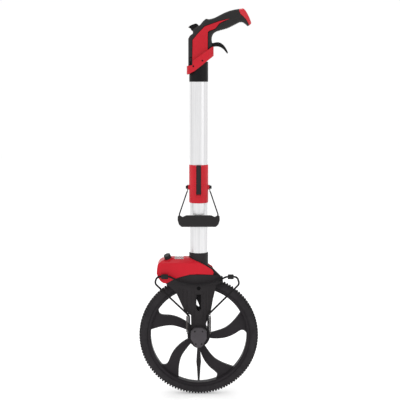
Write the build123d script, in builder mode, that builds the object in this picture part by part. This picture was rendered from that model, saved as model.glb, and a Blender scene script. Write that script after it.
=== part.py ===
from build123d import *
import os
from math import cos, radians, sin

# Measuring wheel on a folding mast: a spoked wheel in a fork with a counter above it, a wire
# kickstand, a carry bail and a pistol grip with a brake lever.
# Row frame: +Z up, +X towards the grip (rear), -Y the near side with the kickstand.
# Origin on the floor under the axle, midway between the two widest points across the wheel.

os.makedirs("parts", exist_ok=True)

# ---- driving dimensions, mm ----
wheel_r = 159.15          # rolling radius: one metre to the turn
axle_z = wheel_r
tyre_half_w = 18.0
tyre_seat_r = 137.0
rim_inner_r = 128.0
rim_half_w = 15.0
spoke_count = 5
spoke_half_t = 6.0
hub_r = 30.0
hub_half_w = 15.0
bearing_r = 11.0
bearing_w = 7.0
axle_r = 4.0
running_gap = 0.05

leg_in = 20.5             # fork leg faces, measured from the wheel's mid-plane
leg_out = 33.0
housing_half_w = 35.0
arch_r = 164.0            # clearance arch over the tyre
belt_y = -26.0
belt_w = 6.0
pulley_r = 10.4
counter_z = 291.0         # counter input shaft
channel_depth = 10.2
shaft_r = 5.0

tube_r = 23.5
tube_wall = 1.6
lower_tube_bottom = 338.0
lower_tube_top = 548.0
upper_tube_bottom = 585.0
upper_tube_top = 885.0
socket_r = 25.2
socket_top = 383.0

joint_r = 25.25
joint_bottom = 515.0
fold_z = 563.0
joint_top = 616.0
fold_y = 33.5
knuckle_r = 7.0
pin_r = 3.0

bail_z = 556.0
bail_tilt = 22.5
cheek_in = 28.0           # inner faces of the counter housing's rear cheeks
brake_x = 34.0
brake_z = 328.0
stand_y = -43.0
stand_z = 160.0
stand_wire_r = 2.5
stand_leg_x = 25.0
overall_half_depth = 49.75
cover_depth = 13.5        # hub cover, from the near leg's face

grip_half_t = 16.0
shell_half_t = 17.5


def face_at(y):
    """Sketch plane across the wheel at depth y; local x is X, local y is Z, extrusion runs to -Y."""
    return Plane.XZ.offset(-y)


def around_axle(y):
    """The same plane with its origin on the axle."""
    return Plane((0, y, axle_z), x_dir=(1, 0, 0), z_dir=(0, -1, 0))


def side_plane(x, y, z):
    """Sketch plane facing +X with its origin at the point given; local x is Y, local y is Z."""
    return Plane((x, y, z), x_dir=(0, 1, 0), z_dir=(1, 0, 0))


def save(part, name):
    part.label = name
    export_step(part, f"parts/{name}.step")


axle_line = Axis((0, 0, axle_z), (0, 1, 0))

# ---- wheel ----
# Rubber ring; its outer radius is over the tops of the tread lugs.
with BuildPart() as tyre:
    with BuildSketch(side_plane(0, 0, axle_z)):
        Polygon(
            (-tyre_half_w, tyre_seat_r),
            (-tyre_half_w, wheel_r - 7),
            (-13.5, wheel_r - 1.6),
            (-8, wheel_r),
            (8, wheel_r),
            (13.5, wheel_r - 1.6),
            (tyre_half_w, wheel_r - 7),
            (tyre_half_w, tyre_seat_r),
            align=None,
        )
    revolve(axis=axle_line)
save(tyre.part, "tyre")

# Curved spoke outline about the axle: a slim root that flares where it meets the rim.
with BuildSketch() as spoke_face:
    with BuildLine():
        rise = Spline((24, 4), (34.7, 6.9), (56, 13.2), (69.3, 18.6), (82.6, 28), (96, 41.7), (116, 68))
        rim_arc = ThreePointArc((116, 68), (128.5, 34.4), (133, 1.5))
        corner = Line((133, 1.5), (128.8, 3.7))
        flare = Spline((128.8, 3.7), (124, 10.5), (117.3, 14), (109.3, 11.8), (98.7, 5), (82.7, -3.1),
                       (61.4, -8.5), (42.7, -9.4), (24, -7.2))
        Line((24, -7.2), (24, 4))
    make_face()

# Moulded rim, spokes and hub in one piece, with a bearing seat in each end of the hub.
with BuildPart() as wheel_rim:
    with BuildSketch(side_plane(0, 0, axle_z)):
        Polygon(
            (-rim_half_w, tyre_seat_r),
            (-rim_half_w, rim_inner_r + 3),
            (-rim_half_w + 3, rim_inner_r),
            (rim_half_w - 3, rim_inner_r),
            (rim_half_w, rim_inner_r + 3),
            (rim_half_w, tyre_seat_r),
            align=None,
        )
    revolve(axis=axle_line)
    with BuildSketch(around_axle(spoke_half_t)):
        with PolarLocations(0, spoke_count):
            add(spoke_face.sketch)
    extrude(amount=2 * spoke_half_t)
    with BuildSketch(around_axle(hub_half_w)):
        Circle(hub_r)
    extrude(amount=2 * hub_half_w)
    with BuildSketch(around_axle(hub_half_w)):
        Circle(7)
    extrude(amount=2 * hub_half_w, mode=Mode.SUBTRACT)
    for seat_y in (hub_half_w, -hub_half_w + bearing_w):
        with BuildSketch(around_axle(seat_y)):
            Circle(bearing_r)
        extrude(amount=bearing_w, mode=Mode.SUBTRACT)
save(wheel_rim.part, "wheel_rim")

with BuildPart() as hub_bearings:
    for seat_y in (hub_half_w, -hub_half_w + bearing_w):
        with BuildSketch(around_axle(seat_y)):
            Circle(bearing_r)
            Circle(axle_r + running_gap, mode=Mode.SUBTRACT)
        extrude(amount=bearing_w)
save(hub_bearings.part, "hub_bearings")


def pulley_face(teeth):
    """Toothed belt pulley section, inside the open sketch."""
    Circle(pulley_r - 0.7)
    with PolarLocations(pulley_r - 0.75, teeth):
        Rectangle(1.9, 1.5)


# Drive pulley moulded on a boss that is keyed to the near end of the hub.
with BuildPart() as hub_pulley:
    with BuildSketch(around_axle(-hub_half_w)):
        Circle(8.5)
    extrude(amount=9)
    with BuildSketch(around_axle(belt_y + belt_w / 2 + 0.5)):
        pulley_face(22)
    extrude(amount=belt_w + 1)
    with BuildSketch(around_axle(belt_y - belt_w / 2 - 0.5)):
        Circle(pulley_r + 1)
    extrude(amount=0.8)
    with BuildSketch(around_axle(0)):
        Circle(axle_r + 0.3)
    extrude(amount=40, mode=Mode.SUBTRACT)
save(hub_pulley.part, "hub_pulley")

# ---- fork ----
leg_outline = (
    (-84, 300), (-72, 291), (-60.6, 281), (-53, 265), (-47.4, 252), (-41, 238), (-36, 228), (-28, 223),
    (-20.5, 219), (-19.8, 180), (-19.8, 146), (-15, 136), (-7, 131), (7, 131), (15, 136), (19.8, 146),
    (19.8, 180), (19.8, 218), (27, 222), (32.3, 230), (38.3, 264), (43, 284), (46, 299),
)
slot_outline = ((-6, 274), (6, 274), (6, 234), (0, 229), (-6, 234))

# Near leg: a moulded channel that opens towards the wheel and carries the drive belt.
with BuildPart() as near_fork_leg:
    with BuildSketch(face_at(-leg_in)):
        Polygon(*leg_outline, align=None)
    extrude(amount=leg_out - leg_in)
    with BuildSketch(face_at(-leg_in)):
        with Locations((0, (axle_z + counter_z) / 2)):
            SlotOverall(counter_z - axle_z + 31, 31, rotation=90)
        with Locations((0, 252)):
            Rectangle(17, 54, mode=Mode.SUBTRACT)
    extrude(amount=channel_depth, mode=Mode.SUBTRACT)
    # lightening pockets either side of the belt channel leave the vertical ribs on the outside
    with BuildSketch(face_at(-leg_in)):
        Polygon((-62, 292), (-20, 292), (-20, 230), (-30, 230), (-44, 254), align=None)
        Polygon((20, 292), (40, 292), (33, 240), (30, 232), (20, 232), align=None)
    extrude(amount=9, mode=Mode.SUBTRACT)
    with BuildSketch(face_at(0)):
        Polygon(*slot_outline, align=None)
    extrude(amount=60, mode=Mode.SUBTRACT)
    # raised ribs down the face, each from its lower to its upper end
    for rib_x, rib_low, rib_high in (
        (-51, 262, 290), (-41, 246, 288), (-31, 236, 286), (-19, 228, 284), (-11, 200, 282),
        (11, 200, 282), (19, 228, 284), (28, 240, 286), (36, 262, 288),
    ):
        with BuildSketch(face_at(-leg_out)):
            with Locations((rib_x, (rib_low + rib_high) / 2)):
                SlotOverall(rib_high - rib_low, 1.8, rotation=90)
        extrude(amount=0.9)
    # shallow dish round the slot, and the bearing of the counter shaft above it
    with BuildSketch(face_at(-leg_out)):
        Polygon((-8, 277), (8, 277), (8, 237), (0, 224), (-8, 237), align=None)
    extrude(amount=-0.8, mode=Mode.SUBTRACT)
    with BuildSketch(face_at(-leg_in)):
        with Locations((0, counter_z)):
            Circle(shaft_r + running_gap)
    extrude(amount=30, mode=Mode.SUBTRACT)
    with BuildSketch(around_axle(0)):
        Circle(axle_r + running_gap)
    extrude(amount=40, mode=Mode.SUBTRACT)
save(near_fork_leg.part, "near_fork_leg")

with BuildPart() as far_fork_leg:
    with BuildSketch(face_at(leg_out)):
        Polygon(*leg_outline, align=None)
        Polygon(*slot_outline, align=None, mode=Mode.SUBTRACT)
    extrude(amount=leg_out - leg_in)
    with BuildSketch(face_at(leg_out)):
        Polygon((-62, 292), (-14, 292), (-14, 228), (-26, 228), (-42, 252), align=None)
        Polygon((14, 292), (40, 292), (33, 240), (28, 228), (14, 228), align=None)
        with Locations((-9.5, 195), (9.5, 195)):
            SlotOverall(40, 7, rotation=90)
    extrude(amount=8, mode=Mode.SUBTRACT)
    with BuildSketch(around_axle(40)):
        Circle(axle_r + running_gap)
    extrude(amount=40, mode=Mode.SUBTRACT)
save(far_fork_leg.part, "far_fork_leg")

# Thin plate that closes the belt channel on the wheel side.
with BuildPart() as belt_cover:
    with BuildSketch(face_at(-leg_in)):
        with Locations((0, (axle_z + counter_z) / 2)):
            SlotOverall(counter_z - axle_z + 30.6, 30.6, rotation=90)
        with Locations((0, 252)):
            Rectangle(17.4, 54.4, mode=Mode.SUBTRACT)
        with Locations((0, axle_z)):
            Circle(9, mode=Mode.SUBTRACT)
    extrude(amount=1.5)
save(belt_cover.part, "belt_cover")

# Toothed belt: two straight strands round the two pulleys.
with BuildPart() as drive_belt:
    with BuildSketch(face_at(belt_y + belt_w / 2)):
        with Locations((0, (axle_z + counter_z) / 2)):
            SlotOverall(counter_z - axle_z + 2 * pulley_r + 2.6, 2 * pulley_r + 2.6, rotation=90)
            SlotOverall(counter_z - axle_z + 2 * pulley_r + 0.6, 2 * pulley_r + 0.6, rotation=90,
                        mode=Mode.SUBTRACT)
    extrude(amount=belt_w)
save(drive_belt.part, "drive_belt")

with BuildPart() as input_pulley:
    with BuildSketch(face_at(belt_y + belt_w / 2 + 0.5)):
        with Locations((0, counter_z)):
            pulley_face(22)
    extrude(amount=belt_w + 0.5)
    with BuildSketch(face_at(belt_y)):
        with Locations((0, counter_z)):
            Circle(shaft_r)
    extrude(amount=5.2)
save(input_pulley.part, "input_pulley")

# Crown: a saddle over the tyre with the round socket for the mast.
with BuildPart() as crown:
    with BuildSketch(face_at(leg_out)):
        Polygon(
            (-84, 300.2), (-88, 306), (-72, 316.2), (-45, 321.8), (-28, 327.3), (54, 327.3),
            (64, 317), (64, 309), (46, 299.2),
            align=None,
        )
    extrude(amount=2 * leg_out)
    with BuildSketch(face_at(cheek_in)):
        Polygon((-28, 327.3), (-28, 352), (20, 352), (27, 334), (38, 332), (38, 327.3), align=None)
    extrude(amount=2 * cheek_in)
    # rib behind the near cheek of the counter housing
    with BuildSketch(face_at(-leg_in)):
        Polygon((20, 327.3), (20, 352.5), (24, 352), (38, 343), (54, 327.3), align=None)
    extrude(amount=cheek_in - leg_in)
    with BuildSketch(Plane.XY.offset(330)):
        Circle(socket_r)
    extrude(amount=socket_top - 330)
    fillet(crown.edges().filter_by(GeomType.CIRCLE).group_by(Axis.Z)[-1], 1.2)
    with BuildSketch(around_axle(leg_in + 1)):
        Circle(arch_r)
    extrude(amount=2 * leg_in + 2, mode=Mode.SUBTRACT)
    with BuildSketch(Plane.XY.offset(lower_tube_bottom)):
        Circle(tube_r)
    extrude(amount=80, mode=Mode.SUBTRACT)
    # head of the belt channel in the near skirt
    with BuildSketch(face_at(-leg_in)):
        with Locations((0, counter_z)):
            Circle(15.5)
    extrude(amount=channel_depth, mode=Mode.SUBTRACT)
    # brake pocket behind the socket, open to the tyre
    with BuildSketch(face_at(12)):
        Polygon((27, 300), (27, 340), (66, 340), (66, 300), align=None)
    extrude(amount=24, mode=Mode.SUBTRACT)
    # the rear falls away on the far side of the near rib
    with BuildSketch(face_at(leg_out)):
        Polygon((38, 334), (66, 306), (80, 306), (80, 360), (38, 360), align=None)
    extrude(amount=leg_out + leg_in, mode=Mode.SUBTRACT)
    with BuildSketch(face_at(15.5)):
        with Locations((brake_x, brake_z)):
            Circle(2 + running_gap)
    extrude(amount=31, mode=Mode.SUBTRACT)
save(crown.part, "crown")

with BuildPart() as crown_screws:
    with BuildSketch(face_at(leg_out + 1.6)):
        with Locations((50, 311), (-70, 305)):
            Circle(3.4)
    extrude(amount=1.6)
save(crown_screws.part, "crown_screws")

# Brake arm: pivots in the pocket behind the socket and presses its pad on the tyre.
with BuildPart() as brake_arm:
    with BuildSketch(face_at(8)):
        Polygon((34, 332), (36, 331.6), (57.5, 318.6), (56.5, 315.1), (43.5, 319.3), (31, 325.4), align=None)
        with Locations((brake_x, brake_z)):
            Circle(4)
    extrude(amount=16)
    with BuildSketch(face_at(15)):
        with Locations((brake_x, brake_z)):
            Circle(2)
    extrude(amount=30)
save(brake_arm.part, "brake_arm")

with BuildPart() as brake_pad:
    with BuildSketch(face_at(9)):
        Polygon((44, 315.3), (44, 319), (56, 315.1), (56, 311.4), align=None)
    extrude(amount=18)
save(brake_pad.part, "brake_pad")

# ---- hub cover, axle and pointer ----
# Moulded cap over the axle's head; the kickstand wire turns in its two side walls.
with BuildPart() as hub_cover:
    with BuildSketch(face_at(-leg_out)):
        with BuildLine():
            Polyline((14, 147), (21.3, 158), (21.3, 168))
            ThreePointArc((21.3, 168), (17.5, 180.5), (8, 187.5))
            Line((8, 187.5), (-8, 187.5))
            ThreePointArc((-8, 187.5), (-17.5, 180.5), (-21.3, 168))
            Polyline((-21.3, 168), (-21.3, 158), (-14, 147))
            ThreePointArc((-14, 147), (0, 134.2), (14, 147))
        make_face()
    extrude(amount=cover_depth)
    chamfer(hub_cover.faces().sort_by(Axis.Y)[0].edges(), 1.0)
    with BuildSketch(around_axle(0)):
        Circle(11)
    extrude(amount=leg_out + cover_depth - 3, mode=Mode.SUBTRACT)
    with BuildSketch(side_plane(-30, stand_y, stand_z)):
        Circle(stand_wire_r + running_gap)
    extrude(amount=60, mode=Mode.SUBTRACT)
save(hub_cover.part, "hub_cover")

with BuildPart() as hub_cover_screws:
    with BuildSketch(face_at(-leg_out - cover_depth)):
        with Locations((-10.3, 178), (10.3, 178), (-7.7, 144), (7.7, 144)):
            Circle(2.2)
    extrude(amount=0.8)
save(hub_cover_screws.part, "hub_cover_screws")

with BuildPart() as axle:
    with BuildSketch(around_axle(overall_half_depth - 6)):
        Circle(axle_r)
    extrude(amount=overall_half_depth - 6 + leg_out)
    with BuildSketch(around_axle(-leg_out)):
        RegularPolygon(7.4, 6)
    extrude(amount=3.3)
save(axle.part, "axle")

with BuildPart() as axle_nut:
    with BuildSketch(around_axle(leg_out + 1.5)):
        Circle(9)
    extrude(amount=1.5)
    with BuildSketch(around_axle(leg_out + 9)):
        RegularPolygon(7.5, 6)
    extrude(amount=7.5)
    with BuildSketch(around_axle(overall_half_depth)):
        Circle(6.3)
    extrude(amount=overall_half_depth - leg_out - 8)
    fillet(axle_nut.faces().sort_by(Axis.Y)[-1].edges(), 5)
    with BuildSketch(around_axle(overall_half_depth - 6)):
        Circle(axle_r)
    extrude(amount=30, mode=Mode.SUBTRACT)
save(axle_nut.part, "axle_nut")

# Start and stop pointer: a tapered blade under the hub.
with BuildPart() as pointer:
    with BuildSketch(face_at(-leg_in - 4)):
        Polygon((-4, 130.9), (-6.4, 92), (-5, 80), (-2.4, 41), (2.4, 41), (5, 80), (6.4, 92), (4, 130.9), align=None)
    extrude(amount=6)
    chamfer(pointer.faces().sort_by(Axis.Y)[0].edges(), 1)
save(pointer.part, "pointer")

# ---- kickstand ----
# Wire route from one pivot end round to the other, with the bend radius of each corner.
stand_ends = ((-14, stand_z), (14, stand_z))
stand_corners = (
    ((-stand_leg_x, stand_z), 3.5), ((-stand_leg_x, 219.5), 10), ((-115.5, 306.2), 11), ((-109.5, 323.9), 11),
    ((-76, 323.9), 14), ((-50, 311.3), 40), ((-24, 305.2), 60), ((0, 304), 60), ((29, 307.7), 60),
    ((55, 315.7), 40), ((73, 323.7), 14), ((101.5, 323.7), 11), ((107, 304.4), 11), ((stand_leg_x, 222.3), 10),
    ((stand_leg_x, stand_z), 3.5),
)
with BuildPart() as kickstand_frame:
    with BuildLine(face_at(stand_y)):
        FilletPolyline(
            stand_ends[0], *[point for point, _ in stand_corners], stand_ends[1],
            radius=[radius for _, radius in stand_corners],
        )
    with BuildSketch(Plane((-14, stand_y, stand_z), x_dir=(0, 1, 0), z_dir=(-1, 0, 0))):
        Circle(stand_wire_r)
    sweep()
save(kickstand_frame.part, "kickstand_frame")

with BuildPart() as kickstand_feet:
    for foot_x, foot_z, foot_length in ((-98.5, 323.9, 18), (76.5, 323.7, 15.5)):
        with BuildSketch(side_plane(foot_x, stand_y, foot_z)):
            Circle(6.5)
            Circle(stand_wire_r, mode=Mode.SUBTRACT)
        extrude(amount=foot_length)
    chamfer(kickstand_feet.edges().filter_by(GeomType.CIRCLE).filter_by(lambda e: e.radius > 5), 1.2)
save(kickstand_feet.part, "kickstand_feet")

# Extension springs that pull the stand home past its dead centre; each stands as a plain rod.
spring_x = 30.5
for side, label in ((-1, "stand_spring_left"), (1, "stand_spring_right")):
    with BuildPart() as stand_spring:
        with BuildSketch(Plane.XY.offset(168)):
            with Locations((side * spring_x, -leg_out - 4)):
                Circle(2.9)
        extrude(amount=56)
    save(stand_spring.part, label)

with BuildPart() as spring_anchors:
    for side in (1, -1):
        with BuildSketch(face_at(-leg_out)):
            with Locations((side * spring_x, 227)):
                Circle(2)
        extrude(amount=6.9)
save(spring_anchors.part, "spring_anchors")

# Spring clip on the crown's rear corner that the stowed stand snaps into.
with BuildPart() as stand_clip:
    with BuildSketch(side_plane(57, 0, 0)):
        Polygon((-leg_out, 310), (-leg_out, 325), (-46.5, 325), (-46.5, 322.5), (-40.1, 322.5),
                (-40.1, 313.4), (-46, 313.4), (-46, 310), align=None)
    extrude(amount=6)
save(stand_clip.part, "stand_clip")

# ---- counter housing ----
housing_outline = (
    (-110, 341), (-108.5, 352), (-104, 359), (-98, 363.5), (-84, 368), (-66, 371), (-50, 372), (-27, 371.5),
    (2.7, 359.5), (21, 350), (36, 340), (39.5, 333), (37, 327.5), (0, 329), (-24, 328), (-45, 322.5),
    (-66, 315.5), (-78, 308), (-85, 304.6), (-93, 305.2), (-101, 311), (-107.5, 321), (-110.5, 331),
)
window_x = -52.0
# the reset knob stands square to the sloping near shoulder of the housing
knob_plane = Plane((-80, -17, 366.5), x_dir=(0.94, 0, 0.34), z_dir=(-0.31, -0.34, 0.89))
with BuildPart() as housing_body:
    with BuildSketch(face_at(housing_half_w)):
        Polygon(*housing_outline, align=None)
    extrude(amount=2 * housing_half_w)
    with BuildSketch(side_plane(-120, 0, 0)):
        with BuildLine():
            Line((-housing_half_w, 290), (-housing_half_w, 358))
            ThreePointArc((-housing_half_w, 358), (0, 372), (housing_half_w, 358))
            Polyline((housing_half_w, 358), (housing_half_w, 290), (-housing_half_w, 290))
        make_face()
    extrude(amount=180, mode=Mode.INTERSECT)
    # room for the crown between the two rear cheeks, and for its socket through the roof
    with BuildSketch(face_at(cheek_in)):
        Polygon((-28, 280), (-28, 352.5), (60, 352.5), (60, 280), align=None)
    extrude(amount=2 * cheek_in, mode=Mode.SUBTRACT)
    with BuildSketch(Plane.XY.offset(350)):
        Circle(socket_r + 0.5)
        Polygon((0, socket_r + 0.5), (60, socket_r + 0.5), (60, -socket_r - 0.5), (0, -socket_r - 0.5),
                align=None)
    extrude(amount=30, mode=Mode.SUBTRACT)
    with BuildSketch(face_at(leg_out)):
        Polygon((-88, 280), (-88, 306), (-72, 316.2), (-45, 321.8), (-28, 327.3), (60, 327.3), (60, 280),
                align=None)
    extrude(amount=2 * leg_out, mode=Mode.SUBTRACT)
    with BuildSketch(around_axle(leg_in + 1)):
        Circle(arch_r)
    extrude(amount=2 * leg_in + 2, mode=Mode.SUBTRACT)
    # drum bay with the window opening above it
    with BuildSketch(face_at(leg_out - 3)):
        Polygon((-97, 330), (-97, 346), (-93, 352), (-32, 354), (-32, 330), align=None)
    extrude(amount=2 * leg_out - 6, mode=Mode.SUBTRACT)
    with BuildSketch(Plane.XY.offset(350)):
        with Locations((window_x, 0)):
            RectangleRounded(24, 42, 3)
    extrude(amount=30, mode=Mode.SUBTRACT)
    # seat of the reset knob
    with BuildSketch(knob_plane.offset(-9)):
        Circle(11.3)
    extrude(amount=40, mode=Mode.SUBTRACT)

for side, label in ((-1, "counter_housing_near"), (1, "counter_housing_far")):
    with BuildPart() as housing_half:
        add(housing_body.part)
        split(bisect_by=Plane.XZ, keep=Keep.TOP if side < 0 else Keep.BOTTOM)
    save(housing_half.part, label)

with BuildPart() as counter_window:
    with BuildSketch(Plane.XY.offset(366)):
        with Locations((window_x, 0)):
            RectangleRounded(24, 42, 3)
    extrude(amount=2.2)
save(counter_window.part, "counter_window")

drum_z = 353.0
drum_r = 9.0
with BuildPart() as counter_frame:
    with BuildSketch(Plane.XY.offset(331)):
        with Locations((window_x, 0)):
            Rectangle(24, 52)
    extrude(amount=4)
    for frame_y in (25, -22):
        with BuildSketch(face_at(frame_y)):
            with Locations((window_x, 343)):
                Rectangle(18, 18)
            with Locations((window_x, drum_z - 6)):
                Rectangle(12, 12)
            with Locations((window_x, drum_z - 3)):
                Circle(2.05, mode=Mode.SUBTRACT)
        extrude(amount=3)
save(counter_frame.part, "counter_frame")

drum_axis_z = drum_z - 3
with BuildPart() as drum_shaft:
    with BuildSketch(face_at(25)):
        with Locations((window_x, drum_axis_z)):
            Circle(2)
    extrude(amount=50)
save(drum_shaft.part, "drum_shaft")

drum_pitch = 8.2
for index in range(5):
    drum_y = 4 + drum_pitch * (2 - index)
    with BuildPart() as drum:
        with BuildSketch(face_at(drum_y)):
            with Locations((window_x, drum_axis_z)):
                Circle(drum_r)
                Circle(2.06, mode=Mode.SUBTRACT)
        extrude(amount=7.8)
    save(drum.part, f"drum_{index + 1}")

with BuildPart() as knob_collar:
    with BuildSketch(knob_plane.offset(-7)):
        Circle(11.2)
        Circle(3.2, mode=Mode.SUBTRACT)
    extrude(amount=10)
    chamfer(knob_collar.edges().filter_by(GeomType.CIRCLE).sort_by(SortBy.RADIUS)[-2:].sort_by(Axis.Z)[-1], 0.8)
save(knob_collar.part, "knob_collar")

# Ribbed knob on a stem that turns in the collar.
with BuildPart() as reset_knob:
    with BuildSketch(knob_plane.offset(3.4)):
        Circle(8.2)
        with PolarLocations(8.2, 18):
            Circle(0.8)
    extrude(amount=10)
    with BuildSketch(knob_plane.offset(-6)):
        Circle(3.14)
    extrude(amount=9.4)
save(reset_knob.part, "reset_knob")

with BuildPart() as housing_screws:
    with BuildSketch(face_at(housing_half_w + 1.2)):
        with Locations((-92, 322), (22, 338), (-40, 338)):
            Circle(2.6)
    extrude(amount=1.2)
save(housing_screws.part, "housing_screws")

# ---- mast ----
for label, low, high in (("lower_tube", lower_tube_bottom, lower_tube_top),
                         ("upper_tube", upper_tube_bottom, upper_tube_top)):
    with BuildPart() as tube:
        with BuildSketch(Plane.XY.offset(low)):
            Circle(tube_r)
            Circle(tube_r - tube_wall, mode=Mode.SUBTRACT)
        extrude(amount=high - low)
    save(tube.part, label)

pad_in = -20.0
pad_out = -29.5
channel_in = -25.4
latch_half_w = 6.0

# Lower casting: sleeve on the lower tube, two outer hinge knuckles and the bail lugs.
with BuildPart() as lower_joint:
    with BuildSketch(Plane.XY.offset(joint_bottom)):
        Circle(joint_r)
    extrude(amount=fold_z - 0.1 - joint_bottom)
    fillet(lower_joint.edges().filter_by(GeomType.CIRCLE).group_by(Axis.Z)[0], 3)
    with BuildSketch(Plane.XY.offset(534)):
        with Locations((0, (pad_in + pad_out) / 2)):
            Rectangle(20, pad_in - pad_out)
    extrude(amount=fold_z - 0.1 - 534)
    for knuckle_x in (-22, 8.4):
        with BuildSketch(side_plane(knuckle_x, 0, 0)):
            Polygon((15, 540), (24, 540), (fold_y + knuckle_r, fold_z), (fold_y, fold_z), (15, fold_z - 0.1),
                    align=None)
            with Locations((fold_y, fold_z)):
                Circle(knuckle_r)
        extrude(amount=13.6)
    with BuildSketch(side_plane(-28, 0, bail_z)):
        Circle(6.5)
    extrude(amount=56)
    with BuildSketch(side_plane(-40, 0, bail_z)):
        Circle(2.6)
    extrude(amount=80, mode=Mode.SUBTRACT)
    with BuildSketch(side_plane(-40, fold_y, fold_z)):
        Circle(pin_r)
    extrude(amount=80, mode=Mode.SUBTRACT)
    with BuildSketch(Plane.XY.offset(joint_bottom - 1)):
        Circle(tube_r)
    extrude(amount=lower_tube_top - joint_bottom + 1, mode=Mode.SUBTRACT)
    with BuildSketch(Plane.XY.offset(537)):
        with Locations((0, (channel_in + pad_out - 1) / 2)):
            Rectangle(2 * latch_half_w + 1, channel_in - pad_out + 1)
    extrude(amount=40, mode=Mode.SUBTRACT)
save(lower_joint.part, "lower_joint")

# Upper casting: sleeve on the upper tube, the middle knuckle and the latch channel.
with BuildPart() as upper_joint:
    with BuildSketch(Plane.XY.offset(fold_z + 0.1)):
        Circle(joint_r)
    extrude(amount=joint_top - fold_z - 0.1)
    fillet(upper_joint.edges().filter_by(GeomType.CIRCLE).group_by(Axis.Z)[-1], 1.5)
    with BuildSketch(Plane.XY.offset(fold_z + 0.1)):
        with Locations((0, (pad_in + pad_out) / 2)):
            Rectangle(20, pad_in - pad_out)
    extrude(amount=joint_top - fold_z - 0.1)
    with BuildSketch(side_plane(-8, 0, 0)):
        Polygon((15, fold_z + 0.1), (fold_y, fold_z + 0.1), (fold_y + knuckle_r, fold_z), (24, 586), (15, 586),
                align=None)
        with Locations((fold_y, fold_z)):
            Circle(knuckle_r)
    extrude(amount=16)
    with BuildSketch(side_plane(-40, fold_y, fold_z)):
        Circle(pin_r + running_gap)
    extrude(amount=80, mode=Mode.SUBTRACT)
    with BuildSketch(Plane.XY.offset(upper_tube_bottom)):
        Circle(tube_r)
    extrude(amount=60, mode=Mode.SUBTRACT)
    with BuildSketch(Plane.XY.offset(fold_z - 1)):
        with Locations((0, (channel_in + pad_out - 1) / 2)):
            Rectangle(2 * latch_half_w + 1, channel_in - pad_out + 1)
    extrude(amount=60, mode=Mode.SUBTRACT)
    with BuildSketch(side_plane(-9, -27.9, joint_top - 2.4)):
        Circle(1.2)
    extrude(amount=18, mode=Mode.SUBTRACT)
save(upper_joint.part, "upper_joint")

with BuildPart() as hinge_pin:
    with BuildSketch(side_plane(-23.5, fold_y, fold_z)):
        Circle(pin_r)
    extrude(amount=47)
save(hinge_pin.part, "hinge_pin")

# Latch lever that lies in the channel across the fold line.
latch_y = -27.9
latch_z = joint_top - 2.4
with BuildPart() as latch_lever:
    with BuildSketch(side_plane(-latch_half_w, 0, 0)):
        with Locations((latch_y, latch_z)):
            Circle(2.3)
        Polygon((latch_y - 2.3, latch_z), (latch_y + 2.3, latch_z), (latch_y + 2.3, 544), (latch_y + 1, 540),
                (latch_y - 3, 540), (latch_y - 3.4, 544), (latch_y - 2.3, 556), align=None)
        with Locations((latch_y, latch_z)):
            Circle(1.2 + running_gap, mode=Mode.SUBTRACT)
    extrude(amount=2 * latch_half_w)
save(latch_lever.part, "latch_lever")

with BuildPart() as latch_pin:
    with BuildSketch(side_plane(-9, latch_y, latch_z)):
        Circle(1.2)
    extrude(amount=18)
save(latch_pin.part, "latch_pin")

# ---- carry bail ----
# The bail hangs in a plane that leans off the mast; local x is X, local y runs down the bail.
tilt = radians(bail_tilt)
bail_plane = Plane((0, 0, bail_z), x_dir=(1, 0, 0), z_dir=(0, cos(tilt), -sin(tilt)))
bail_wire_r = 1.7
bail_points = ((-30.5, 12), (-50.5, 74), (-50.5, 88), (50.5, 88), (50.5, 74), (30.5, 12))
with BuildPart() as bail_wire:
    with BuildLine(bail_plane):
        FilletPolyline(*[(x, v) for x, v in bail_points], radius=6)
    with BuildSketch(Plane(bail_plane.from_local_coords((-30.5, 12, 0)),
                           z_dir=bail_plane.from_local_coords((-50.5, 74, 0))
                           - bail_plane.from_local_coords((-30.5, 12, 0)))):
        Circle(bail_wire_r)
    sweep()
    # flat eyes that turn on the pivot screws
    for side in (1, -1):
        with BuildSketch(Plane((side * 30.7, 0, bail_z), x_dir=(0, -side, 0), z_dir=(-side, 0, 0))):
            Circle(6.5)
            Circle(2.65, mode=Mode.SUBTRACT)
        extrude(amount=2.4)
        with BuildSketch(Plane(bail_plane.from_local_coords((side * 29.5, 0, 0)), x_dir=(1, 0, 0),
                               z_dir=bail_plane.from_local_coords((0, 1, 0)) - Vector(0, 0, bail_z))):
            with Locations((side * 0.1, 0)):
                Rectangle(2.2, 2.6)
        extrude(amount=13)
        with BuildSketch(side_plane(side * 30 - 6, 0, bail_z)):
            Circle(2.65)
        extrude(amount=12, mode=Mode.SUBTRACT)
save(bail_wire.part, "bail_wire")

# Moulded carry grip with turned-up ends.
with BuildPart() as bail_grip:
    with BuildSketch(bail_plane.offset(5.2)):
        with BuildLine():
            top = Spline((-46, 77.5), (-24, 81.5), (0, 84), (24, 81.5), (46, 77.5))
            Polyline((46, 77.5), (51, 76.5), (55, 80), (55.5, 90), (52, 102), (45, 108.5))
            Line((45, 108.5), (-45, 108.5))
            Polyline((-45, 108.5), (-52, 102), (-55.5, 90), (-55, 80), (-51, 76.5), (-46, 77.5))
        make_face()
    extrude(amount=-10.4)
    chamfer(bail_grip.faces().filter_by(Plane(bail_plane.origin, z_dir=bail_plane.z_dir)).edges(), 1.6)
    with BuildLine(bail_plane):
        FilletPolyline(*[(x, v) for x, v in bail_points], radius=6)
    with BuildSketch(Plane(bail_plane.from_local_coords((-30.5, 12, 0)),
                           z_dir=bail_plane.from_local_coords((-50.5, 74, 0))
                           - bail_plane.from_local_coords((-30.5, 12, 0)))):
        Circle(bail_wire_r)
    sweep(mode=Mode.SUBTRACT)
save(bail_grip.part, "bail_grip")

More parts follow.
